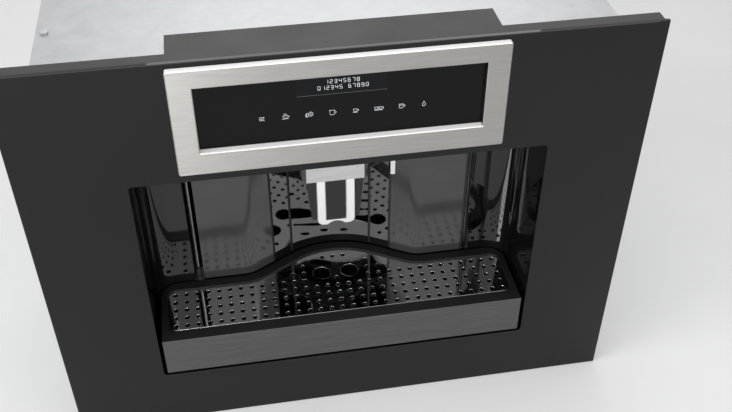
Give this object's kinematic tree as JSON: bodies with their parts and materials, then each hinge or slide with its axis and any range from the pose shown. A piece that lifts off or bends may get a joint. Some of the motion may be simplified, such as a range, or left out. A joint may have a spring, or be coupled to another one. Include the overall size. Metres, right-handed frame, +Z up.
{
  "type": "built-in coffee machine",
  "caption": "Built-in bean-to-cup coffee machine with glass fascia, framed touch display, cup niche, swing-out service door, sliding spout and pull-out drip tray, on telescopic rails.",
  "frame": {"origin": "centre of the width and of the depth at the niche floor", "axes": "+Z up, +X to the right as seen from the front, -Y towards the user, +Y into the cabinet"},
  "size_m": [0.595, 0.398, 0.455],
  "materials": {
    "black_glass": "gloss",
    "display_glass": "gloss",
    "brushed_frame": "brushed",
    "gloss_black": "gloss",
    "black_plastic": "matte",
    "grey_plastic": "matte",
    "satin_steel": "satin",
    "door_steel": "satin",
    "spout_steel": "satin",
    "bright_cover": "polished",
    "dark_rod": "satin",
    "polished_steel": "polished",
    "chrome": "polished",
    "rim_rubber": "satin",
    "galvanised": "satin",
    "zinc_rail": "satin",
    "clear_tank": "gloss",
    "smoked_hopper": "gloss",
    "circuit_board": "matte",
    "cast_aluminium": "cast",
    "burr_steel": "ground",
    "copper_brown": "satin"
  },
  "bodies": {
    "cabinet_rails": {"rail_outer_left": "zinc_rail", "rail_outer_right": "zinc_rail"},
    "rail_middle_left": {"rail_middle_left": "zinc_rail"},
    "rail_middle_right": {"rail_middle_right": "zinc_rail"},
    "machine": {"fascia_glass": "black_glass", "fascia_carrier": "black_plastic", "control_frame": "brushed_frame", "display_glass": "display_glass", "touch_board": "circuit_board", "control_box": "black_plastic", "niche_liner": "gloss_black", "hot_water_nozzle": "chrome", "service_bay": "grey_plastic", "hinge_brackets": "galvanised", "hinge_rod": "dark_rod", "door_catch": "black_plastic", "grounds_container": "black_plastic", "infuser_body": "grey_plastic", "brew_drive": "black_plastic", "grinder_body": "cast_aluminium", "grinder_motor": "copper_brown", "bean_hopper": "smoked_hopper", "powder_chute": "black_plastic", "tank_cradle": "black_plastic", "thermoblock": "cast_aluminium", "pump": "black_plastic", "power_board": "circuit_board", "mains_inlet": "black_plastic", "switch_body": "black_plastic", "base_pan": "galvanised", "side_panel_left": "galvanised", "side_panel_right": "galvanised", "rear_panel": "galvanised", "top_cover": "galvanised", "case_screws": "zinc_rail", "rail_inner_left": "zinc_rail", "rail_inner_right": "zinc_rail"},
    "service_door": {"door_inner": "black_plastic", "door_panel_left": "door_steel", "door_panel_right": "door_steel", "recess_wing_left": "polished_steel", "recess_wing_right": "polished_steel", "spout_guide_plate": "polished_steel", "door_trim_right": "gloss_black"},
    "spout": {"spout_housing": "gloss_black", "spout_block": "spout_steel", "spout_cover": "bright_cover"},
    "drip_tray": {"tray_front": "satin_steel", "tray_basin": "rim_rubber"},
    "cup_plate": {"cup_plate": "polished_steel"},
    "water_tank": {"water_tank": "clear_tank"},
    "tank_lid": {"tank_lid": "black_plastic"},
    "bean_lid": {"bean_lid": "black_plastic"},
    "chute_flap": {"chute_flap": "black_plastic"},
    "grind_adjuster": {"grind_knob": "black_plastic", "upper_burr": "burr_steel"},
    "grinder_rotor": {"grinder_burr": "burr_steel"},
    "infuser_piston": {"infuser_piston": "grey_plastic"},
    "mains_rocker": {"switch_rocker": "black_plastic"}
  },
  "joints": [
    {"name": "machine_slide", "type": "slide", "parent": "cabinet_rails", "child": "machine", "axis": [0, -1, 0], "range_m": [0, 0.3]},
    {"name": "rail_middle_left_slide", "type": "slide", "parent": "cabinet_rails", "child": "rail_middle_left", "axis": [0, -1, 0], "range_m": [0, 0.15]},
    {"name": "rail_middle_right_slide", "type": "slide", "parent": "cabinet_rails", "child": "rail_middle_right", "axis": [0, -1, 0], "range_m": [0, 0.15]},
    {"name": "door_hinge", "type": "hinge", "parent": "machine", "child": "service_door", "pos_m": [-0.152, -0.1, 0.2245], "axis": [0, 0, 1], "range_deg": [-90, 0]},
    {"name": "spout_height", "type": "slide", "parent": "service_door", "child": "spout", "axis": [0, 0, 1], "range_m": [-0.01, 0.03]},
    {"name": "tray_slide", "type": "slide", "parent": "machine", "child": "drip_tray", "axis": [0, -1, 0], "range_m": [0, 0.16]},
    {"name": "plate_lift", "type": "slide", "parent": "drip_tray", "child": "cup_plate", "axis": [0, 0, 1], "range_m": [0, 0.05]},
    {"name": "tank_lift", "type": "slide", "parent": "machine", "child": "water_tank", "axis": [0, 0, 1], "range_m": [0, 0.16]},
    {"name": "tank_lid_lift", "type": "slide", "parent": "water_tank", "child": "tank_lid", "axis": [0, 0, 1], "range_m": [0, 0.04]},
    {"name": "bean_lid_hinge", "type": "hinge", "parent": "machine", "child": "bean_lid", "pos_m": [-0.0325, 0.13103, 0.4445], "axis": [-1, 0, 0], "range_deg": [0, 100]},
    {"name": "chute_flap_hinge", "type": "hinge", "parent": "machine", "child": "chute_flap", "pos_m": [0.079, 0.07103, 0.4445], "axis": [-1, 0, 0], "range_deg": [0, 100]},
    {"name": "grind_setting", "type": "hinge", "parent": "machine", "child": "grind_adjuster", "pos_m": [-0.04, 0.03203, 0.38], "axis": [0, 0, 1], "range_deg": [-60, 60]},
    {"name": "grinder_spin", "type": "hinge", "parent": "machine", "child": "grinder_rotor", "pos_m": [-0.04, 0.03203, 0.32], "axis": [0, 0, 1], "continuous": true},
    {"name": "piston_stroke", "type": "slide", "parent": "machine", "child": "infuser_piston", "axis": [0, 0, 1], "range_m": [0, 0.05]},
    {"name": "mains_switch", "type": "hinge", "parent": "machine", "child": "mains_rocker", "pos_m": [0.16, -0.02797, 0.265], "axis": [0, 1, 0], "range_deg": [-8, 8]}
  ],
  "couplings": [
    {"joint": "rail_middle_left_slide", "follows": "machine_slide", "ratio": 0.5},
    {"joint": "rail_middle_right_slide", "follows": "machine_slide", "ratio": 0.5}
  ]
}
